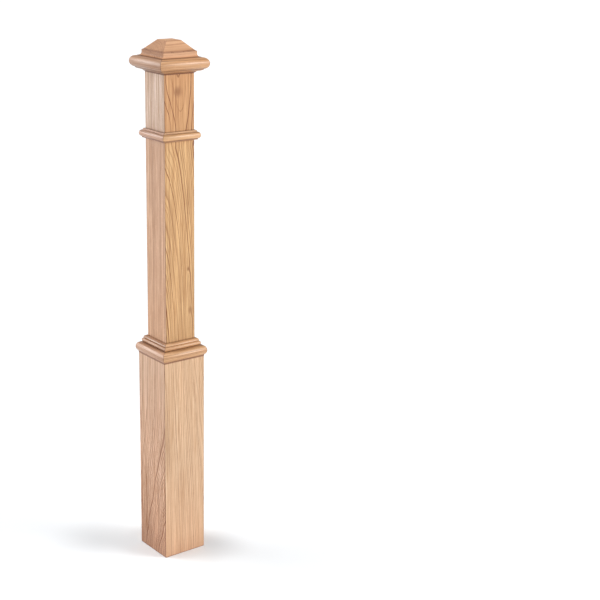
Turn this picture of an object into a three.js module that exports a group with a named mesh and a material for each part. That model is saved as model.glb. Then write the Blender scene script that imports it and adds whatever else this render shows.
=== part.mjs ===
import * as THREE from 'three';

// Box newel post in clear oak, millimetres, +Z up, origin at the middle of its underside.
// A hollow shaft of four mitred boards stands inside a shorter hollow base of four more.
// Mitred sticks of moulding go round it at four heights, and a solid cap block closes the top.
// A distance called reach is measured outwards from the face of the shaft.

// Boards
const shaftWidth = 90;
const shaftBoardThickness = 18;
const baseBoardThickness = 17.7;
const glueGap = 0.3;

// Heights of the plain stretches of the post
const baseHeight = 564;
const bareShaftHeight = 534.5;
const upperBlockHeight = 146;

// Plinth nosing, a half-round nose over a thin fillet, on top of the base boards
const plinthNosingOverhang = 6.4;
const plinthNoseDepth = 9;
const plinthNoseHeight = 26;
const plinthNoseUndercut = 5.7;
const plinthFilletHeight = 2;

// Foot moulding, a large bead under a smaller one with a groove between them
const footBeadReach = 12.5;
const footBeadDepth = 5;
const footBeadHeight = 11.2;
const footBeadUndercut = 4;
const footFilletHeight = 0.8;
const footGrooveReach = 6.2;
const footGrooveHeight = 1.2;
const footTopBeadReach = 9;
const footTopBeadDepth = 7;
const footTopBeadHeight = 6.8;

// Band below the upper block, a nose between two fillets
const bandReach = 12.6;
const bandNoseDepth = 7;
const bandNoseHeight = 17.7;
const bandNoseUndercut = 5.8;
const bandLowFilletHeight = 2.5;
const bandTopFilletReach = 4.9;
const bandTopFilletHeight = 3.8;

// Cap moulding, a half-round nose over an ogee that runs in to the shaft
const capMouldingReach = 29;
const capNoseDepth = 13;
const capNoseHeight = 29;
const capNoseUndercut = 10.8;
const capOgeeFootReach = 2;
const capOgeeHeight = 9.5;
const capOgeeEase = 2.2;
const capOgeeDip = 3.3;

// Cap block, a slab with a hollowed foot that carries a cut-off pyramid
const capFootSetback = 3;
const capFootFilletHeight = 0.8;
const capCoveDepth = 7.5;
const capCoveHeight = 7;
const capSlabHeight = 8;
const capLedgeWidth = 2.5;
const capPyramidHeight = 25.3;
const capFlatWidth = 42.5;

// Number of straight steps on each round stretch, and the colours of the oak
const arcSteps = 7;
const oakRoughness = 0.55;
const oakYellow = 0xdbae7f;
const oakPink = 0xd0a487;
const oakNose = 0xe0b283;

// Heights at which one part of the post gives way to the next, from the floor upwards
const plinthFoot = baseHeight + glueGap;
const plinthTop = plinthFoot + plinthFilletHeight + plinthNoseHeight;
const footMouldingFoot = plinthTop + glueGap;
const footBeadTop = footFilletHeight + footBeadHeight;
const footTopBeadFoot = footBeadTop + footGrooveHeight;
const bareShaftFoot = footMouldingFoot + footTopBeadFoot + footTopBeadHeight;
const bandFoot = bareShaftFoot + bareShaftHeight;
const bandNoseTop = bandLowFilletHeight + bandNoseHeight;
const upperBlockFoot = bandFoot + bandNoseTop + bandTopFilletHeight;
const capMouldingFoot = upperBlockFoot + upperBlockHeight;
const shaftTop = capMouldingFoot + capOgeeHeight + capNoseHeight;
const capBlockFoot = shaftTop + glueGap;

// Faces measured from the axis of the post, and the base's own reach
const shaftFace = shaftWidth / 2;
const coveredFace = shaftFace + glueGap;
const baseReach = glueGap + baseBoardThickness;

// Two mitred ends keep the glue gap between them, so each stands back by half of it
const mitreSetback = glueGap / Math.SQRT2;

// The four sides of the post, each a quarter turn on from the front, which faces -Y
const sides = ['front', 'right', 'back', 'left'];

const newelPost = new THREE.Group();
newelPost.name = 'newel_post';

function addPiece(name, geometry, color, turns = 0) {
  const material = new THREE.MeshStandardMaterial({ color, roughness: oakRoughness, metalness: 0 });
  const piece = new THREE.Mesh(geometry, material);
  piece.name = name;
  piece.rotation.z = turns * Math.PI / 2;
  newelPost.add(piece);
}

// A board with mitred long edges, from its inner to its outer face, standing on the front side.
// Its faces are divided at the given heights, where mouldings begin and end.
function mitredBoard(innerFace, thickness, heights) {
  const outerFace = innerFace + thickness;
  const section = new THREE.Shape([
    new THREE.Vector2(-(outerFace - mitreSetback), -outerFace),
    new THREE.Vector2(outerFace - mitreSetback, -outerFace),
    new THREE.Vector2(innerFace - mitreSetback, -innerFace),
    new THREE.Vector2(-(innerFace - mitreSetback), -innerFace),
  ]);
  const steps = heights.length - 1;
  const board = new THREE.ExtrudeGeometry(section, { depth: steps, steps, bevelEnabled: false });
  const position = board.getAttribute('position');
  for (let i = 0; i < position.count; i++) {
    position.setZ(i, heights[Math.round(position.getZ(i))]);
  }
  return board;
}

// A stick of moulding on the front side, its ends cut at 45 degrees to meet its neighbours.
// The profile is drawn in reach and height, and its back is against the shaft.
function mitredStick(profile, foot) {
  const options = { depth: 1, curveSegments: arcSteps, bevelEnabled: false };
  const stick = new THREE.ExtrudeGeometry(profile, options);
  const position = stick.getAttribute('position');
  for (let i = 0; i < position.count; i++) {
    const fromAxis = shaftFace + position.getX(i);
    const halfLength = fromAxis - mitreSetback;
    const side = position.getZ(i) * 2 - 1;
    position.setXYZ(i, -side * halfLength, -fromAxis, foot + position.getY(i));
  }
  return stick;
}

// An outline that starts at the back of a stick and runs out along its underside
function startProfile(reach) {
  const profile = new THREE.Shape();
  profile.moveTo(glueGap, 0);
  profile.lineTo(reach, 0);
  return profile;
}

// A half-round nose that stands out from what is below it by its undercut, and ends at its top
function addNose(profile, reach, depth, foot, height, undercut) {
  const startAngle = -Math.acos((depth - undercut) / depth);
  profile.absellipse(reach - depth, foot + height / 2, depth, height / 2, startAngle, Math.PI / 2, false);
}

function plinthNosingProfile() {
  const reach = baseReach + plinthNosingOverhang;
  const profile = startProfile(reach - plinthNoseUndercut);
  addNose(profile, reach, plinthNoseDepth, plinthFilletHeight, plinthNoseHeight, plinthNoseUndercut);
  profile.lineTo(glueGap, plinthTop - plinthFoot);
  return profile;
}

function footMouldingProfile() {
  const topBeadCentre = footTopBeadReach - footTopBeadDepth;
  const profile = startProfile(footBeadReach - footBeadUndercut);
  addNose(profile, footBeadReach, footBeadDepth, footFilletHeight, footBeadHeight, footBeadUndercut);
  profile.lineTo(footGrooveReach, footBeadTop + footGrooveHeight / 2);
  profile.absellipse(
    topBeadCentre, footTopBeadFoot, footTopBeadDepth, footTopBeadHeight, 0, Math.PI / 2, false,
  );
  profile.lineTo(glueGap, bareShaftFoot - footMouldingFoot);
  return profile;
}

function bandProfile() {
  const profile = startProfile(bandReach - bandNoseUndercut);
  addNose(profile, bandReach, bandNoseDepth, bandLowFilletHeight, bandNoseHeight, bandNoseUndercut);
  profile.lineTo(bandTopFilletReach, bandNoseTop);
  profile.lineTo(bandTopFilletReach, upperBlockFoot - bandFoot);
  profile.lineTo(glueGap, upperBlockFoot - bandFoot);
  return profile;
}

function capMouldingProfile() {
  const ogeeTopReach = capMouldingReach - capNoseUndercut;
  const profile = startProfile(capOgeeFootReach);
  profile.bezierCurveTo(
    capOgeeFootReach + capOgeeEase, capOgeeHeight - capOgeeDip,
    ogeeTopReach - capOgeeEase, capOgeeDip,
    ogeeTopReach, capOgeeHeight,
  );
  addNose(profile, capMouldingReach, capNoseDepth, capOgeeHeight, capNoseHeight, capNoseUndercut);
  profile.lineTo(glueGap, shaftTop - capMouldingFoot);
  return profile;
}

// The cap block is square all the way up, so its profile is turned in four flat sides.
// Its foot stands on the flat top of the cap moulding, behind the round of the nose.
function capBlock() {
  const footHalf = shaftFace + capMouldingReach - capNoseDepth - capFootSetback;
  const slabHalf = footHalf - capCoveDepth;
  const coveFoot = capBlockFoot + capFootFilletHeight;
  const coveTop = coveFoot + capCoveHeight;
  const slabTop = coveTop + capSlabHeight;
  const postTop = slabTop + capPyramidHeight;
  const outline = new THREE.Path();
  outline.moveTo(0, capBlockFoot);
  outline.lineTo(footHalf, capBlockFoot);
  outline.absellipse(footHalf, coveTop, capCoveDepth, capCoveHeight, -Math.PI / 2, -Math.PI, true);
  outline.lineTo(slabHalf, slabTop);
  outline.lineTo(slabHalf - capLedgeWidth, slabTop);
  outline.lineTo(capFlatWidth / 2, postTop);
  outline.lineTo(0, postTop);
  const points = outline.getPoints(arcSteps).map((p) => new THREE.Vector2(p.x * Math.SQRT2, p.y));
  const block = new THREE.LatheGeometry(points, sides.length, Math.PI / sides.length);
  return block.rotateX(Math.PI / 2);
}

const divisions = [0, plinthFoot, bareShaftFoot, bandFoot, upperBlockFoot, capMouldingFoot, shaftTop];

sides.forEach((side, turns) => {
  const face = turns % 2 === 0 ? oakYellow : oakPink;
  const shaftBoard = mitredBoard(shaftFace - shaftBoardThickness, shaftBoardThickness, divisions);
  const baseBoard = mitredBoard(coveredFace, baseBoardThickness, [0, baseHeight]);
  addPiece(`shaft_board_${side}`, shaftBoard, face, turns);
  addPiece(`base_board_${side}`, baseBoard, face, turns);
  addPiece(`plinth_nosing_${side}`, mitredStick(plinthNosingProfile(), plinthFoot), oakNose, turns);
  addPiece(`foot_moulding_${side}`, mitredStick(footMouldingProfile(), footMouldingFoot), oakNose, turns);
  addPiece(`band_${side}`, mitredStick(bandProfile(), bandFoot), oakNose, turns);
  addPiece(`cap_moulding_${side}`, mitredStick(capMouldingProfile(), capMouldingFoot), oakNose, turns);
});

addPiece('cap_block', capBlock(), oakYellow);

export default newelPost;
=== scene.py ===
import math
import random

import bmesh
import bpy
from mathutils import Matrix, Vector
from mathutils.geometry import interpolate_bezier


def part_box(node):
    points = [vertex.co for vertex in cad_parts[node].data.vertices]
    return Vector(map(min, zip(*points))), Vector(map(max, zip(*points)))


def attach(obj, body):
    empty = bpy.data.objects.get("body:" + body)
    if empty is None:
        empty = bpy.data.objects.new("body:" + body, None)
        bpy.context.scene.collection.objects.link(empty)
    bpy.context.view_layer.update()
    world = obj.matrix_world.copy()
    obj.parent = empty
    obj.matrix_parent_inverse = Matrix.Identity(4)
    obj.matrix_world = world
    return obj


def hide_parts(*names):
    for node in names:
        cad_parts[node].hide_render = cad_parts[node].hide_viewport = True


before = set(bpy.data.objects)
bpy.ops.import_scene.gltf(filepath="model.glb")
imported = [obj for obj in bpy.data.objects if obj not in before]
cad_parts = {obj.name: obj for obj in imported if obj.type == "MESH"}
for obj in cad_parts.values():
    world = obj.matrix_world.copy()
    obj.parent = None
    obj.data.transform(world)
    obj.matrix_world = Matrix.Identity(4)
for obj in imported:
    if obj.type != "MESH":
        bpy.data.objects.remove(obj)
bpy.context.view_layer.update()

# Shaft boards.
# Four boards of red oak, 18 mm thick, run from the floor to the cap. Their long edges are
# mitred and glued round a hollow, and the corners are sanded to a fine round.

MM = 0.001
SIDES = ("front", "right", "back", "left")
ARRIS_ROUND = 0.7 * MM
ARRIS_STEPS = 4
END_ROUND = 0.3 * MM
END_STEPS = 2
# In how many lengths the figure of a board is set, and how far the stretches of log that the
# boards come from lie apart, in mm
BOARD_STATIONS = 48
LOG_SPACING = 4000
# A face narrower than this is part of a round, and an edge that turns more than this is sharp
ROUND_STRIP = 2.4 * MM
SHARP_TURN = math.radians(32)

# How each board was sawn: heights up it, and at each the distance of the tree's heart across
# from the board's middle and behind its face, the width of a year's ring and how far the
# rings lie out of their place, all in mm, and how strongly the grain shows. Then its tones at
# some heights, as a screen shows them, and how much its rays show.
SHAFT_PLANKS = {
    "front": dict(
        sawn=[(0, -96, 20, 4.6, 0, 1.7), (612, -96, 34, 4.6, 0, 1.7), (1147, -84, 120, 4.6, 0, 1.7),
              (1171, 4.5, 5, 17, 19, 1.7), (1200, 4.5, 5, 17, 16, 1.7), (1240, 1.5, 5, 17, 6, 1.7),
              (1270, -1, 5, 17, -1, 1.7), (1317, -2, 5, 17, -5, 1.7)],
        tones=[(600, 193, 150, 102), (1140, 195, 150, 99), (1180, 187, 136, 88)],
        rays=0.3),
    "left": dict(
        sawn=[(0, -168, 30, 6.4, 0, 1.6), (1150, -161, 44, 6.4, 0, 1.6),
              (1180, -161, 44, 6.4, 0, 2.0)],
        tones=[(600, 195, 150, 116), (1140, 191, 151, 122), (1180, 197, 168, 147)],
        rays=0.5),
    "back": dict(
        sawn=[(0, -12, 70, 3.0, 0, 1.1), (700, -8, 96, 3.0, 0, 1.1), (1356, 4, 118, 3.0, 0, 1.1)],
        tones=[(0, 196, 151, 109), (1356, 192, 148, 107)],
        rays=0.3),
    "right": dict(
        sawn=[(0, 120, 60, 5.2, 0, 1.4), (1356, 150, 44, 5.2, 0, 1.4)],
        tones=[(0, 192, 145, 110), (1356, 194, 148, 116)],
        rays=0.4),
}

# Small knots in the front of the shaft, each a place, its width and length, how far it pushes
# the rings aside, all in mm, and how dark it is. The long one is a brown streak.
SHAFT_KNOTS = [
    (-5, -45, 1272, 17, 20, 5.0, 0.8),
    (25, -45, 806, 6, 9, 2.0, 0.9),
    (27, -45, 1000, 9, 75, 1.0, 0.25),
    (31, -45, 693, 9, 15, 2.0, 0.7),
]


class Value:
    """The output of a shader node. Arithmetic written with it adds Math nodes to its finish."""

    def __init__(self, finish, output):
        self.finish = finish
        self.output = output

    def out(self, name):
        return Value(self.finish, self.output.node.outputs[name])

    def parts(self):
        """The three parts of this vector."""
        first = self.finish.node("SeparateXYZ", {}, {0: self})
        return first, first.out(1), first.out(2)

    def math(self, operation, *values):
        return self.finish.node("Math", {"operation": operation}, dict(enumerate(values)))

    def __add__(self, other):
        return self.math("ADD", self, other)

    def __radd__(self, other):
        return self.math("ADD", other, self)

    def __sub__(self, other):
        return self.math("SUBTRACT", self, other)

    def __rsub__(self, other):
        return self.math("SUBTRACT", other, self)

    def __mul__(self, other):
        return self.math("MULTIPLY", self, other)

    def __rmul__(self, other):
        return self.math("MULTIPLY", other, self)

    def __truediv__(self, other):
        return self.math("DIVIDE", self, other)

    def __pow__(self, other):
        return self.math("POWER", self, other)

    def __abs__(self):
        return self.math("ABSOLUTE", self)

    def most(self, other):
        """The greater of this value and the other one."""
        return self.math("MAXIMUM", self, other)

    def over(self, low, high):
        """Rises smoothly from 0 at low to 1 at high."""
        return self.finish.node("MapRange", {"interpolation_type": "SMOOTHSTEP"},
                                {"Value": self, "From Min": low, "From Max": high})

    def under(self, low, high):
        """Falls smoothly from 1 at low to 0 at high."""
        return 1 - self.over(low, high)

    def stretched(self, *sizes):
        """The place, measured in steps of the given sizes along its three directions."""
        steps = [1 / size for size in sizes]
        return self.finish.node("VectorMath", {"operation": "MULTIPLY"}, {0: self, 1: steps})

    def noise(self, detail=2.0):
        """Noise whose bumps are one step of this place apart."""
        return self.finish.node("TexNoise", {}, {"Vector": self, "Scale": 1.0, "Detail": detail})

    def noise_along(self, size):
        """Noise in one direction, along this value."""
        return self.finish.node("TexNoise", {"noise_dimensions": "1D"},
                                {"W": self / size, "Scale": 1.0, "Detail": 1.0})

    def toward(self, other, amount):
        """This colour, turned into the other one by the amount. A Mix node takes colours at its
        sockets 6 and 7, and gives one at its output 2."""
        return self.finish.node("Mix", {"data_type": "RGBA"}, {0: amount, 6: self, 7: other},
                                output=2)

    def varied(self, weights, amount):
        """This colour, with each of its channels made brighter by its weight times the amount."""
        gain = self.finish.node("VectorMath", {"operation": "SCALE"}, {0: weights, "Scale": amount})
        return self.finish.node("VectorMath", {"operation": "MULTIPLY_ADD"},
                                {0: self, 1: gain, 2: self})

    def shaded(self, shade, amount):
        """This colour, taken toward itself times the shade by the amount."""
        shaded = self.finish.node("VectorMath", {"operation": "MULTIPLY"}, {0: self, 1: shade})
        return self.toward(shaded, amount)


class Finish:
    """A material, and the one way to add a node to it."""

    def __init__(self, name):
        self.material = bpy.data.materials.new(name)
        self.material.use_nodes = True
        self.tree = self.material.node_tree
        self.shader = self.tree.nodes["Principled BSDF"]

    def node(self, kind, settings=None, sockets=None, output=0):
        """Adds a node: first its settings, then the values or links of its sockets."""
        made = self.tree.nodes.new("ShaderNode" + kind)
        for key, setting in (settings or {}).items():
            if key == "stops":
                self.set_stops(made.color_ramp, setting)
            else:
                setattr(made, key, setting)
        for key, value in (sockets or {}).items():
            self.feed(made.inputs[key], value)
        return Value(self, made.outputs[output])

    def feed(self, socket, value):
        if isinstance(value, Value):
            self.tree.links.new(value.output, socket)
        else:
            socket.default_value = value

    def set_stops(self, ramp, stops):
        ramp.interpolation = "EASE"
        while len(ramp.elements) < len(stops):
            ramp.elements.new(0.5)
        for element, (place, level) in zip(ramp.elements, stops):
            element.position = place
            element.color = (level, level, level, 1)

    def attribute(self, name, output="Vector"):
        """What the points of the piece carry under this name."""
        return self.node("Attribute", {"attribute_name": name}, output=output)


def colour(red, green, blue):
    """A colour as a screen shows it, 0 to 255, made linear."""
    def linear(level):
        share = level / 255
        return share / 12.92 if share <= 0.04045 else ((share + 0.055) / 1.055) ** 2.4
    return (linear(red), linear(green), linear(blue), 1.0)


# What the early wood, pores, rays, broad patches, knots, glue lines and painted shade at the
# joints, and end grain do to the red, green and blue of a board's tone, and how strongly its
# streaks and fibres change them
EARLY_SHADE = (0.40, 0.24, 0.12)
PORE_SHADE = (0.46, 0.34, 0.24)
RAY_SHADE = (1.14, 1.16, 1.20)
PATCH_SHADE = (1.06, 0.99, 0.92)
KNOT_SHADE = (0.52, 0.38, 0.26)
# The colour of glue lines and of the painted shade where pieces meet and hollows run
GLUE_AND_SHADOW_SHADE = (0.33, 0.19, 0.10)
END_SHADE = (0.70, 0.62, 0.56)
GRAIN_WEIGHTS = (0.75, 1.1, 1.5)

# How dark the porous early wood is from its start to where the late wood begins, how wide it
# is, in mm and as a share of the ring that is added, and how dark it is in the palest year
EARLY_WOOD = [(0.0, 0.2), (0.1, 1.0), (0.45, 0.9), (1.0, 0.0)]
EARLY_WIDTH = 1.2
EARLY_RING_SHARE = 0.12
EARLY_LEAST = 0.2

# The waves of the rings, from broad to fine: how long they are along, across and into the log,
# and how far they move a ring, all in mm but the bend, which is in widths of the ring
WANDER_SIZE = (420, 60, 60)
WANDER = 8
BEND_SIZE = (140, 28, 28)
BEND = 0.9
RIPPLE_SIZE = (80, 9, 9)
RIPPLE = 0.8
FRAY_SIZE = (22, 1.6, 1.6)
FRAY = 0.4
# Lean years crowd the rings: over how many mm outwards they come and go, and by how much
CROWD_SIZE = 14
CROWD = 12

# How long streaks, fibres, pores and broad patches are along, across and into the log, in mm,
# and how much they show
STREAK_SIZE = (330, 4.2, 4.2)
STREAK = 0.75
FIBRE_SIZE = (60, 1.3, 1.3)
FIBRE = 0.8
PORE_SIZE = (13, 0.45, 0.45)
PORE = 0.8
PATCH_SIZE = (260, 26, 26)
PATCH = 2.4
PATCH_BRIGHTNESS = 0.4
# The levels of noise between which a pore appears, and how many the late wood has
PORE_LEVELS = (0.55, 0.68)
LATE_PORES = 0.15
# Rays are thin sheets that run out from the heart: their length, their thickness so far from
# it and their depth outwards, in mm, and the levels of noise between which one appears
RAY_LENGTH = 9
RAY_THICKNESS = 0.6
RAY_DISTANCE = 90
RAY_DEPTH = 20
RAY_LEVELS = (0.62, 0.74)

# How deep a knot goes, in mm, and where its dark and its push fade, in sizes of the knot
KNOT_DEPTH = 12
KNOT_FADE = (0.1, 1.0)
KNOT_PUSH_FADE = (0.2, 2.2)
# How a face must turn toward the grain to show end grain
END_TURN = (0.35, 0.9)

# Lines where glue lies at the joints, darkened further with painted shade along seams and in
# hollow corners, where one piece shades another: how far from the joint they begin to fade and
# end, and how dark they are where a piece's own lines don't say it
MITRE_LINE = (0.3 * MM, 1.3 * MM)
MITRE_DARKNESS = 0.6
GLUE_AND_SHADOW_LINE = (0.8 * MM, 3.0 * MM)
CORNER_GLUE_AND_SHADOW_LINE = (0.3 * MM, 1.6 * MM)
CORNER_GLUE_AND_SHADOW_DARKNESS = 0.5

# Relief of the grain, and the roughness and mirror share of sanded wood
BUMP = 0.2
BUMP_DEPTH = 0.25 * MM
FIBRE_RELIEF = 0.25
EARLY_RELIEF = 0.3
EARLY_ROUGHNESS = 0.1
PORE_ROUGHNESS = 0.2
SANDED = (0.58, 0.5)


def oak(name, glue_and_shadow_lines, glue_and_shadow_face=None, end_axis=None, knots=(), mitred=True, surface=SANDED):
    """Red oak, worked out from where each point lay in the log it was sawn from. It is darker at
    its mitres, where glue lines show, and along its glue and shadow lines, each a height and a
    darkness, where another piece touches it or a hollow corner runs: a glue line there, and
    painted shade. With a glue and shadow face it is also darker nearer to the axis than that,
    with painted shade where it meets the shaft or the piece that stands on it."""
    finish = Finish(name)
    node = finish.node
    log = finish.attribute("log")
    tone = finish.attribute("tone", output="Color")
    ring, grain_share, ray_share = finish.attribute("plank").parts()
    heart_across, heart_behind, shift = finish.attribute("heart").parts()
    along, across, behind = log.parts()
    across = across - heart_across
    behind = behind + heart_behind
    place = node("TexCoord", output="Object")
    x, y, z = place.parts()
    x, y = abs(x), abs(y)

    # Knots, which push the years' rings aside
    knot = push = 0
    for knot_x, knot_y, knot_z, width, length, shove, darkness in knots:
        centre = (knot_x * MM, knot_y * MM, knot_z * MM)
        offset = node("VectorMath", {"operation": "SUBTRACT"}, {0: place, 1: centre})
        sizes = offset.stretched(width * MM, KNOT_DEPTH * MM, length * MM)
        far = node("VectorMath", {"operation": "LENGTH"}, {0: sizes}, output="Value")
        knot = (far.under(*KNOT_FADE) * darkness).most(knot)
        push = far.under(*KNOT_PUSH_FADE) * shove + push

    # Years' rings round the heart, which wander slowly and quickly
    wander = log.stretched(*WANDER_SIZE).noise() - 0.5
    bend = log.stretched(*BEND_SIZE).noise(1.0) - 0.5
    ripple = log.stretched(*RIPPLE_SIZE).noise() - 0.5
    fray = log.stretched(*FRAY_SIZE).noise(1.0) - 0.5
    radius = (across * across + behind * behind) ** 0.5 + wander * WANDER + bend * ring * BEND
    radius = radius + ripple * RIPPLE + fray * FRAY + shift + push
    years = (radius + (radius.noise_along(CROWD_SIZE) - 0.5) * CROWD) / ring
    year = years.math("FLOOR", years)
    strength = node("TexWhiteNoise", {"noise_dimensions": "1D"}, {"W": year})
    into_year = (years - year) * ring / (ring * EARLY_RING_SHARE + EARLY_WIDTH)
    early = node("ValToRGB", {"stops": EARLY_WOOD}, {0: into_year})
    early = early * (strength * strength * (1 - EARLY_LEAST) + EARLY_LEAST)

    # Streaks, fibres, pores and rays, which are long along the grain
    streak = log.stretched(*STREAK_SIZE).noise() - 0.5
    fibre = log.stretched(*FIBRE_SIZE).noise() - 0.5
    pores = log.stretched(*PORE_SIZE).noise(1.0).over(*PORE_LEVELS)
    pores = pores * (early * (1 - LATE_PORES) + LATE_PORES)
    turn = across.math("ARCTAN2", across, behind) * RAY_DISTANCE
    sheet = node("CombineXYZ", {}, {0: along / RAY_LENGTH, 1: turn / RAY_THICKNESS,
                                    2: radius / RAY_DEPTH})
    rays = sheet.noise(0.0).over(*RAY_LEVELS) * ray_share
    patch = log.stretched(*PATCH_SIZE).noise(1.0) - 0.5

    # Colour
    grain = (streak * STREAK + fibre * FIBRE) * grain_share + patch * PATCH_BRIGHTNESS
    wood = tone.shaded(PATCH_SHADE, patch * PATCH)
    wood = wood.varied(GRAIN_WEIGHTS, grain)
    wood = wood.shaded(EARLY_SHADE, early * grain_share)
    wood = wood.shaded(PORE_SHADE, pores * PORE)
    wood = wood.shaded(RAY_SHADE, rays)
    wood = wood.shaded(KNOT_SHADE, knot)
    if end_axis:
        normal = node("NewGeometry", output="Normal")
        facing = node("VectorMath", {"operation": "DOT_PRODUCT"}, {0: normal, 1: end_axis},
                      output="Value")
        wood = wood.shaded(END_SHADE, abs(facing).over(*END_TURN))

    # Joints: glue lines at the mitres, and glue lines with painted shade along seams and corners
    glue_and_shadow = abs(x - y).under(*MITRE_LINE) * MITRE_DARKNESS if mitred else 0
    for height, darkness in glue_and_shadow_lines:
        glue_and_shadow = (abs(z - height).under(*GLUE_AND_SHADOW_LINE) * darkness).most(glue_and_shadow)
    if glue_and_shadow_face:
        reach = x.most(y) - glue_and_shadow_face
        glue_and_shadow = (reach.under(*CORNER_GLUE_AND_SHADOW_LINE) * CORNER_GLUE_AND_SHADOW_DARKNESS).most(glue_and_shadow)
    # Painted shade: the wood is darkened where other pieces and hollow corners would shade it
    wood = wood.shaded(GLUE_AND_SHADOW_SHADE, glue_and_shadow)

    # Surface
    roughness, mirror = surface
    relief = fibre * FIBRE_RELIEF - pores - early * EARLY_RELIEF
    bump = node("Bump", {}, {"Strength": BUMP, "Distance": BUMP_DEPTH, "Height": relief})
    rough = roughness + early * EARLY_ROUGHNESS + pores * PORE_ROUGHNESS
    finish.feed(finish.shader.inputs["Base Color"], wood)
    finish.feed(finish.shader.inputs["Roughness"], rough)
    finish.feed(finish.shader.inputs["Specular IOR Level"], mirror)
    finish.feed(finish.shader.inputs["Normal"], bump)
    return finish.material


def between(stations, height):
    """The values at a height, in proportion between those of the stations below and above it."""
    for (low, *start), (high, *end) in zip(stations, stations[1:]):
        if height <= high or high == stations[-1][0]:
            share = min(max((height - low) / (high - low), 0.0), 1.0)
            return [a + (b - a) * share for a, b in zip(start, end)]


def saw_from_log(mesh, grain, outward, plank, log_start):
    """Gives each point of a piece its place along, across and into its plank, in mm, where the
    tree's heart was, and the plank's tone and figure. The grain runs along the first direction,
    and the second points out of its face."""
    side_way = grain.cross(outward)
    for name in ("log", "plank", "heart"):
        mesh.attributes.new(name, "FLOAT_VECTOR", "POINT")
    mesh.attributes.new("tone", "FLOAT_COLOR", "POINT")
    places, tones = mesh.attributes["log"].data, mesh.attributes["tone"].data
    figures, hearts = mesh.attributes["plank"].data, mesh.attributes["heart"].data
    face = max(outward.dot(vertex.co) for vertex in mesh.vertices)
    for vertex in mesh.vertices:
        height = grain.dot(vertex.co) / MM
        across, behind, ring, shift, grain_share = between(plank["sawn"], height)
        depth = (outward.dot(vertex.co) - face) / MM
        places[vertex.index].vector = (height + log_start, side_way.dot(vertex.co) / MM, depth)
        tones[vertex.index].color = colour(*between(plank["tones"], height))
        figures[vertex.index].vector = (ring, grain_share, plank["rays"])
        hearts[vertex.index].vector = (across, behind, shift)


def add_piece(bm, name, node, material, turns=0):
    """Turns a piece that was made on the front side round to its own side, and adds it."""
    bmesh.ops.rotate(bm, verts=bm.verts, matrix=Matrix.Rotation(turns * math.pi / 2, 3, "Z"))
    bmesh.ops.recalc_face_normals(bm, faces=bm.faces)
    for face in bm.faces:
        width = face.calc_area() / max(edge.calc_length() for edge in face.edges)
        face.smooth = width < ROUND_STRIP
    for edge in bm.edges:
        edge.smooth = edge.calc_face_angle(0.0) < SHARP_TURN
    mesh = bpy.data.meshes.new(name)
    bm.to_mesh(mesh)
    bm.free()
    mesh.materials.append(material)
    piece = bpy.data.objects.new(name, mesh)
    bpy.context.scene.collection.objects.link(piece)
    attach(piece, "root")
    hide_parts(node)
    return piece


def extrude_up(bm, outline, lift):
    """A solid raised by lift from a flat outline of corners."""
    face = bm.faces.new([bm.verts.new(corner) for corner in outline])
    raised = bmesh.ops.extrude_face_region(bm, geom=[face])
    new = [part for part in raised["geom"] if isinstance(part, bmesh.types.BMVert)]
    bmesh.ops.translate(bm, verts=new, vec=lift)


def ease(bm, edges, width, segments):
    """Rounds the edges over."""
    bmesh.ops.bevel(bm, geom=edges, offset=width, offset_type="OFFSET", affect="EDGES",
                    segments=segments, profile=0.5, material=-1)


def cut_across(bm, point, direction, clear=False):
    """Cuts the mesh by a plane. With clear, what lies beyond it goes, and the cut is closed."""
    everything = bm.verts[:] + bm.edges[:] + bm.faces[:]
    cut = bmesh.ops.bisect_plane(bm, geom=everything, dist=1e-7, plane_co=point, plane_no=direction,
                                 clear_outer=clear)
    if clear:
        rim = [part for part in cut["geom_cut"] if isinstance(part, bmesh.types.BMEdge)]
        bmesh.ops.contextual_create(bm, geom=rim)


def board(node, joints=()):
    """A board with mitred long edges, made on the front side to the size of its node. It is
    divided at its joints too, each a height and a darkness, for its figure to change behind a
    moulding."""
    low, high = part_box(node)
    thickness = high.y - low.y
    bm = bmesh.new()
    outline = [(low.x, low.y, low.z), (high.x, low.y, low.z),
               (high.x - thickness, high.y, low.z), (low.x + thickness, high.y, low.z)]
    extrude_up(bm, outline, (0, 0, high.z - low.z))
    upright = [e for e in bm.edges if abs(e.verts[0].co.z - e.verts[1].co.z) > MM]
    arrises = [e for e in upright if e.verts[0].co.y < low.y + MM]
    ease(bm, arrises, ARRIS_ROUND, ARRIS_STEPS)
    ends = [e for e in bm.edges if abs(e.verts[0].co.z - e.verts[1].co.z) < MM]
    ease(bm, ends, END_ROUND, END_STEPS)
    length = high.z - low.z
    heights = [low.z + length * step / BOARD_STATIONS for step in range(1, BOARD_STATIONS)]
    heights += [height for height, darkness in joints if height < high.z]
    for height in heights:
        cut_across(bm, (0, 0, height), UP)
    return bm


def outward_at(turns):
    """Which way the face of a piece points after its quarter turns."""
    return Matrix.Rotation(turns * math.pi / 2, 3, "Z") @ Vector((0, -1, 0))


UP = Vector((0, 0, 1))
# How dark the shaft's glue lines and painted shade are below and above a moulding that goes
# # round it; the painted shade below stands for the shadow under the moulding's nose
GLUE_AND_SHADOW_BELOW = 1.0
GLUE_AND_SHADOW_ABOVE = 0.45

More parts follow.
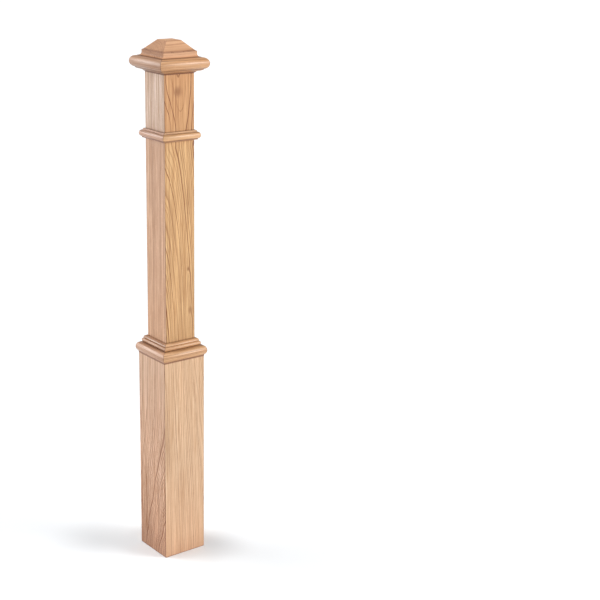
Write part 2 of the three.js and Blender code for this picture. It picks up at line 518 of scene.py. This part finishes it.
shaft_face = -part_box("shaft_board_front")[0].y
shaft_glue_and_shadow_lines = []
for moulding in ("foot_moulding", "band", "cap_moulding"):
    low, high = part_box(moulding + "_front")
    shaft_glue_and_shadow_lines += [(low.z, GLUE_AND_SHADOW_BELOW), (high.z, GLUE_AND_SHADOW_ABOVE)]
oak_shaft = oak("oak_shaft", glue_and_shadow_lines=shaft_glue_and_shadow_lines, knots=SHAFT_KNOTS)
for turns, side in enumerate(SIDES):
    node = "shaft_board_" + side
    shape = board("shaft_board_front", shaft_glue_and_shadow_lines)
    piece = add_piece(shape, "oak_" + node, node, oak_shaft, turns)
    saw_from_log(piece.data, UP, outward_at(turns), SHAFT_PLANKS[side], LOG_SPACING * turns)

# Base boards.
# Four wider boards of the same oak, mitred round the foot of the shaft and glued to it.
# They are sawn from other planks, so each has its own figure.

BASE_PLANKS = {
    "front": dict(
        sawn=[(0, 110, 96, 4.2, 0, 0.7), (150, 110, 92, 4.2, 0, 1.0), (300, 110, 84, 4.2, 0, 1.3),
              (450, 110, 72, 4.2, 0, 1.2), (564, 110, 56, 4.2, 0, 1.1)],
        tones=[(0, 199, 155, 121), (60, 202, 161, 126), (300, 200, 164, 130), (564, 201, 163, 127)],
        rays=0.35),
    "left": dict(
        sawn=[(0, 135, 20, 3.5, 0, 2.6), (60, 135, 68, 3.5, 1.2, 2.9), (95, 136, 82, 3.5, -1, 2.9),
              (150, 137, 104, 3.5, 1.5, 2.9), (205, 138, 118, 3.5, -1.4, 2.7),
              (240, 138.5, 127, 3.5, 0.6, 2.6), (330, 140, 150, 3.5, -1.2, 2.3),
              (390, 140.5, 155, 3.5, 1, 1.9), (450, 141, 161, 3.5, 0, 1.4),
              (564, 142, 165, 3.5, 0, 1)],
        tones=[(0, 178, 132, 103), (110, 193, 149, 118), (250, 200, 158, 128), (564, 200, 163, 135)],
        rays=0.35),
    "back": dict(
        sawn=[(0, 4, 80, 3.2, 0, 1.1), (300, 10, 62, 3.2, 0, 1.1), (564, 18, 50, 3.2, 0, 1.1)],
        tones=[(0, 190, 145, 107), (564, 196, 153, 114)],
        rays=0.3),
    "right": dict(
        sawn=[(0, 150, 44, 5.0, 0, 1.4), (564, 165, 50, 5.0, 0, 1.4)],
        tones=[(0, 187, 142, 104), (564, 192, 148, 113)],
        rays=0.45),
}

# A long brown patch by the corner, set down as the knots of the shaft are
BASE_KNOTS = [(-56, -63, 314, 11, 110, 1.0, 0.3)]
BASE_LOG_START = 20000

low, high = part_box("base_board_front")
# Painted shadow along the foot where the base stands on the floor, and a glue line with painted shade
# under the plinth nosing
oak_base = oak("oak_base", glue_and_shadow_lines=[(low.z, 0.6), (high.z, 0.8)], knots=BASE_KNOTS)
for turns, side in enumerate(SIDES):
    node = "base_board_" + side
    shape = board("base_board_front")
    piece = add_piece(shape, "oak_" + node, node, oak_base, turns)
    log_start = LOG_SPACING * turns + BASE_LOG_START
    saw_from_log(piece.data, UP, outward_at(turns), BASE_PLANKS[side], log_start)

# Plinth nosing.
# Four sticks of oak with a half-round nose over a thin fillet, run through a moulding
# cutter, mitred at the corners and glued on top of the base boards.

NOSE_STEPS = 20
EDGE_ROUND = 0.25 * MM
EDGE_STEPS = 2
PLINTH_NOSE_DEPTH = 9 * MM
PLINTH_NOSE_UNDERCUT = 5.7 * MM
PLINTH_FILLET = 2 * MM
# How far behind the front of the moulding on it the plinth's top grows dark
PLINTH_SHADOW_SETBACK = 6 * MM
# Tones of the four sticks, in the order of the sides, as a screen shows them
PLINTH_TONES = ((196, 149, 104), (183, 141, 110), (190, 145, 107), (185, 141, 110))
# Roughness and mirror share of wood that a moulding cutter has burnished
BURNISHED = (0.38, 0.7)
# How sticks are sawn: half their length and a little more, the ranges of the heart's distance
# across and behind, of its lean, of the rings' width and of the start in the log, all in mm,
# and how much the grain and the rays show
STICK_HALF = 80
STICK_ACROSS = (20, 110)
STICK_BEHIND = (40, 120)
STICK_LEAN = (-5, 5)
STICK_RINGS = (2.6, 3.8)
STICK_LOG_START = (0, 9000)
STICK_GRAIN = 0.9
STICK_RAYS = 0.3


def nose(reach, depth, foot, top, undercut):
    """A half-round nose up to its top, from where it meets the fillet that it overhangs."""
    start = -math.acos((depth - undercut) / depth)
    middle, half = (foot + top) / 2, (top - foot) / 2
    points = []
    for step in range(NOSE_STEPS + 1):
        angle = start + (math.pi / 2 - start) * step / NOSE_STEPS
        points.append((reach - depth + depth * math.cos(angle), middle + half * math.sin(angle)))
    return points


def stick(node, profile):
    """A mitred stick on the front side. The profile is in distance from the axis and height."""
    low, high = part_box(node)
    bm = bmesh.new()
    start = low.x - MM
    extrude_up(bm, [(start, -out, z) for out, z in profile], (2 * -start, 0, 0))
    setback = -low.y - high.x
    for way in (-1, 1):
        cut_across(bm, (0, -setback, 0), (way, 1, 0), clear=True)
    bmesh.ops.recalc_face_normals(bm, faces=bm.faces)
    sharp = [e for e in bm.edges if e.calc_face_angle(0.0) > SHARP_TURN]
    ease(bm, sharp, EDGE_ROUND, EDGE_STEPS)
    return bm


def stick_plank(rng, tone):
    """How a stick was sawn from its log, written down as for a board of the shaft."""
    across = rng.choice((-1, 1)) * rng.uniform(*STICK_ACROSS)
    behind = rng.uniform(*STICK_BEHIND)
    lean = rng.uniform(*STICK_LEAN)
    ring = rng.uniform(*STICK_RINGS)
    sawn = [(-STICK_HALF, across - lean, behind, ring, 0, STICK_GRAIN),
            (STICK_HALF, across + lean, behind + lean, ring, 0, STICK_GRAIN)]
    return dict(sawn=sawn, tones=[(-STICK_HALF, *tone), (STICK_HALF, *tone)], rays=STICK_RAYS)


def add_sticks(kind, profile, material, seed, tones):
    """Adds the four sticks of one kind, each from its own plank."""
    rng = random.Random(seed)
    for turns, (side, tone) in enumerate(zip(SIDES, tones)):
        node = f"{kind}_{side}"
        piece = add_piece(stick(kind + "_front", profile), "oak_" + node, node,
                          material, turns)
        outward = outward_at(turns)
        plank = stick_plank(rng, tone)
        log_start = rng.uniform(*STICK_LOG_START)
        saw_from_log(piece.data, outward.cross(UP), outward, plank, log_start)


low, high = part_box("plinth_nosing_front")
plinth_profile = [(-high.y, low.z), (-low.y - PLINTH_NOSE_UNDERCUT, low.z)]
plinth_profile += nose(-low.y, PLINTH_NOSE_DEPTH, low.z + PLINTH_FILLET, high.z, PLINTH_NOSE_UNDERCUT)
plinth_profile += [(-high.y, high.z)]
foot_front = -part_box("foot_moulding_front")[0].y
# Painted shade under the nose, and painted shadow on the top behind the foot moulding that stands
# there
oak_plinth = oak("oak_plinth", glue_and_shadow_lines=[(low.z + PLINTH_FILLET / 2, 0.8)],
                 glue_and_shadow_face=foot_front - PLINTH_SHADOW_SETBACK, surface=BURNISHED)
add_sticks("plinth_nosing", plinth_profile, oak_plinth, seed=11, tones=PLINTH_TONES)

# Foot moulding.
# Four mitred sticks with a large bead under a smaller one and a fine groove between,
# glued to the shaft where it comes out of the base.

FOOT_BEAD_DEPTH = 5 * MM
FOOT_BEAD_HEIGHT = 11.2 * MM
FOOT_BEAD_UNDERCUT = 4 * MM
FOOT_FILLET = 0.8 * MM
FOOT_GROOVE_REACH = 6.2 * MM
FOOT_GROOVE = 1.2 * MM
FOOT_TOP_BEAD_REACH = 9 * MM
FOOT_TOP_BEAD_DEPTH = 7 * MM
FOOT_TONES = ((195, 148, 105), (181, 138, 104), (187, 142, 107), (184, 139, 106))

low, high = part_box("foot_moulding_front")
bead_foot = low.z + FOOT_FILLET
bead_top = bead_foot + FOOT_BEAD_HEIGHT
top_bead_foot = bead_top + FOOT_GROOVE
top_bead_height = high.z - top_bead_foot
foot_profile = [(-high.y, low.z), (-low.y - FOOT_BEAD_UNDERCUT, low.z)]
foot_profile += nose(-low.y, FOOT_BEAD_DEPTH, bead_foot, bead_top, FOOT_BEAD_UNDERCUT)
foot_profile += [(shaft_face + FOOT_GROOVE_REACH, bead_top + FOOT_GROOVE / 2)]
foot_profile += nose(shaft_face + FOOT_TOP_BEAD_REACH, FOOT_TOP_BEAD_DEPTH,
                     top_bead_foot - top_bead_height, high.z, 0)
foot_profile += [(-high.y, high.z)]
# A glue line with painted shade along its foot on the plinth, and painted shade in the corner against
# the shaft
oak_foot = oak("oak_foot", glue_and_shadow_lines=[(low.z, 0.6)], glue_and_shadow_face=-high.y, surface=BURNISHED)
add_sticks("foot_moulding", foot_profile, oak_foot, seed=12, tones=FOOT_TONES)

# Band.
# Four mitred sticks with a nose between two fillets, glued round the shaft to set off
# the upper block, where a handrail is fixed.

BAND_NOSE_DEPTH = 7 * MM
BAND_NOSE_UNDERCUT = 5.8 * MM
BAND_LOW_FILLET = 2.5 * MM
BAND_TOP_FILLET = 3.8 * MM
BAND_TOP_FILLET_REACH = 4.9 * MM
BAND_TONES = ((202, 156, 110), (183, 140, 106), (191, 147, 109), (192, 148, 121))

low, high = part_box("band_front")
nose_top = high.z - BAND_TOP_FILLET
band_profile = [(-high.y, low.z), (-low.y - BAND_NOSE_UNDERCUT, low.z)]
band_profile += nose(-low.y, BAND_NOSE_DEPTH, low.z + BAND_LOW_FILLET, nose_top, BAND_NOSE_UNDERCUT)
band_profile += [(shaft_face + BAND_TOP_FILLET_REACH, nose_top)]
band_profile += [(shaft_face + BAND_TOP_FILLET_REACH, high.z), (-high.y, high.z)]
# Painted shade under the nose where it meets the lower fillet, and in the corner against the shaft
oak_band = oak("oak_band", glue_and_shadow_lines=[(low.z + BAND_LOW_FILLET, 0.7)], glue_and_shadow_face=-high.y,
               surface=BURNISHED)
add_sticks("band", band_profile, oak_band, seed=13, tones=BAND_TONES)

# Cap moulding.
# Four mitred sticks with a deep half-round nose over an ogee, glued round the top of the
# shaft. The cap block stands on their flat top.

CAP_NOSE_DEPTH = 13 * MM
CAP_NOSE_HEIGHT = 29 * MM
CAP_NOSE_UNDERCUT = 10.8 * MM
CAP_OGEE_FOOT_REACH = 2 * MM
CAP_OGEE_EASE = 2.2 * MM
CAP_OGEE_DIP = 3.3 * MM
CAP_TONES = ((197, 148, 103), (179, 137, 104), (187, 144, 107), (176, 134, 104))


def ogee(foot, top, ease_out, dip):
    """An S-shaped run from a foot out to a top, both as distance and height."""
    hold = Vector((foot[0] + ease_out, top[1] - dip))
    swell = Vector((top[0] - ease_out, foot[1] + dip))
    return interpolate_bezier(foot, hold, swell, top, NOSE_STEPS + 1)[:-1]


low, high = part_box("cap_moulding_front")
nose_foot = high.z - CAP_NOSE_HEIGHT
ogee_foot = (shaft_face + CAP_OGEE_FOOT_REACH, low.z)
ogee_top = (-low.y - CAP_NOSE_UNDERCUT, nose_foot)
cap_profile = [(-high.y, low.z)] + ogee(ogee_foot, ogee_top, CAP_OGEE_EASE, CAP_OGEE_DIP)
cap_profile += nose(-low.y, CAP_NOSE_DEPTH, nose_foot, high.z, CAP_NOSE_UNDERCUT)
cap_profile += [(-high.y, high.z)]
cap_low, cap_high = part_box("cap_block")
# A glue line with painted shadow along its foot on the shaft, painted shade under the nose, and
# painted shade where the cap block stands on it
oak_cap_moulding = oak("oak_cap_moulding", glue_and_shadow_lines=[(low.z, 1.0), (nose_foot, 0.6)],
                       glue_and_shadow_face=cap_high.x, surface=BURNISHED)
add_sticks("cap_moulding", cap_profile, oak_cap_moulding, seed=14, tones=CAP_TONES)

# Cap block.
# One thick piece of oak with a hollowed foot, a square slab and a low pyramid cut off
# flat. Its grain runs across the post, so two of its sides show end grain.

CAP_GRAIN = Vector((1, 0, 0))
CAP_LOG_START = 500
CAP_PLANK = dict(
    sawn=[(-80, -40, 150, 5.0, 0, 0.7), (80, -34, 150, 5.0, 0, 0.7)],
    tones=[(-80, 197, 150, 113), (80, 197, 148, 109)],
    rays=0.3)
CAP_FOOT_FILLET = 0.8 * MM
CAP_COVE_DEPTH = 7.5 * MM
CAP_COVE_HEIGHT = 7 * MM
CAP_COVE_STEPS = 12
CAP_SLAB_HEIGHT = 8 * MM
CAP_LEDGE = 2.5 * MM
CAP_FLAT_HALF = 21.25 * MM
CAP_ROUND = 0.4 * MM
CAP_ROUND_STEPS = 3
# Dark pores at the foot of the pyramid, set down as knots are
CAP_FLECKS = [
    (-25, -49, 1371, 2.5, 3, 0, 0.9),
    (-21, -49, 1371, 2.0, 3, 0, 0.8),
    (10, -49, 1371, 2.0, 2, 0, 0.8),
]

# Half widths and heights of the levels, from the foot of the cove to the flat top
cove_foot = cap_low.z + CAP_FOOT_FILLET
cove_top = cove_foot + CAP_COVE_HEIGHT
levels = [(cap_high.x, cove_foot)]
for step in range(1, CAP_COVE_STEPS + 1):
    angle = math.pi / 2 * step / CAP_COVE_STEPS
    out = cap_high.x - CAP_COVE_DEPTH * math.sin(angle)
    levels.append((out, cove_top - CAP_COVE_HEIGHT * math.cos(angle)))
slab_half = cap_high.x - CAP_COVE_DEPTH
slab_top = cove_top + CAP_SLAB_HEIGHT
levels += [(slab_half, slab_top), (slab_half - CAP_LEDGE, slab_top), (CAP_FLAT_HALF, cap_high.z)]

# The top face is raised from level to level, and then the open foot is closed
bm = bmesh.new()
half, height = cap_high.x, cap_low.z
corners = [(-half, -half), (half, -half), (half, half), (-half, half)]
top = bm.faces.new([bm.verts.new((*corner, height)) for corner in corners])
for next_half, next_height in levels:
    top = bmesh.ops.extrude_discrete_faces(bm, faces=[top])["faces"][0]
    share = next_half / half
    bmesh.ops.scale(bm, verts=top.verts, vec=(share, share, 1))
    bmesh.ops.translate(bm, verts=top.verts, vec=(0, 0, next_height - height))
    half, height = next_half, next_height
bmesh.ops.holes_fill(bm, edges=bm.edges, sides=4)
bmesh.ops.recalc_face_normals(bm, faces=bm.faces)
sharp = [e for e in bm.edges if e.calc_face_angle(0.0) > SHARP_TURN]
ease(bm, sharp, CAP_ROUND, CAP_ROUND_STEPS)
# A glue line with painted shade where it stands on the cap moulding, and painted shade along the
# ledge round the foot of the pyramid
oak_cap = oak("oak_cap", glue_and_shadow_lines=[(cap_low.z, 0.8), (slab_top, 0.5)], end_axis=CAP_GRAIN,
              knots=CAP_FLECKS, mitred=False)
piece = add_piece(bm, "oak_cap_block", "cap_block", oak_cap)
saw_from_log(piece.data, CAP_GRAIN, UP, CAP_PLANK, CAP_LOG_START)

# Floor, light and camera.
# A plain white floor, two low soft lights from the sides and two high ones that lay the
# shadows on the floor, and the camera where the photograph was taken from.

FLOOR_HALF = 60.0
FLOOR_WHITE = colour(244, 245, 246)
FLOOR_ROUGHNESS = 0.9
SKY_TINT = (0.94, 1.0, 1.05, 1.0)
SKY_STRENGTH = 0.38
# Each light's turn and height in degrees, its strength and its softness in degrees
LIGHTS = ((40, 14, 2.5, 34), (-140, 17, 2.45, 46), (51, 80.5, 0.57, 6), (-129, 86.3, 0.84, 5))
CAMERA_PLACE = (-1.8621, -2.8760, 1.7593)
CAMERA_TURN = -38.658
CAMERA_DOWN = 16.927
CAMERA_ROLL = 1.271
CAMERA_LENS = 80.57

bm = bmesh.new()
bmesh.ops.create_grid(bm, x_segments=1, y_segments=1, size=FLOOR_HALF)
floor_mesh = bpy.data.meshes.new("floor")
bm.to_mesh(floor_mesh)
bm.free()
floor = bpy.data.objects.new("floor", floor_mesh)
bpy.context.scene.collection.objects.link(floor)
paint = Finish("floor_paint")
paint.feed(paint.shader.inputs["Base Color"], FLOOR_WHITE)
paint.feed(paint.shader.inputs["Roughness"], FLOOR_ROUGHNESS)
floor_mesh.materials.append(paint.material)

world = bpy.data.worlds.new("studio")
bpy.context.scene.world = world
world.use_nodes = True
sky = world.node_tree.nodes["Background"]
sky.inputs["Color"].default_value = SKY_TINT
sky.inputs["Strength"].default_value = SKY_STRENGTH

for turn, rise, strength, softness in LIGHTS:
    lamp = bpy.data.lights.new("studio_light", "SUN")
    lamp.energy = strength
    lamp.angle = math.radians(softness)
    light = bpy.data.objects.new("studio_light", lamp)
    light.rotation_euler = (math.radians(90 - rise), 0, math.radians(turn))
    bpy.context.scene.collection.objects.link(light)

camera_data = bpy.data.cameras.new("camera")
camera_data.lens = CAMERA_LENS
camera = bpy.data.objects.new("camera", camera_data)
turned = Matrix.Rotation(math.radians(CAMERA_TURN), 4, "Z")
tipped = Matrix.Rotation(math.radians(90 - CAMERA_DOWN), 4, "X")
rolled = Matrix.Rotation(math.radians(CAMERA_ROLL), 4, "Z")
camera.matrix_world = Matrix.Translation(CAMERA_PLACE) @ turned @ tipped @ rolled
bpy.context.scene.collection.objects.link(camera)
bpy.context.scene.camera = camera
bpy.context.scene.view_settings.view_transform = "Standard"
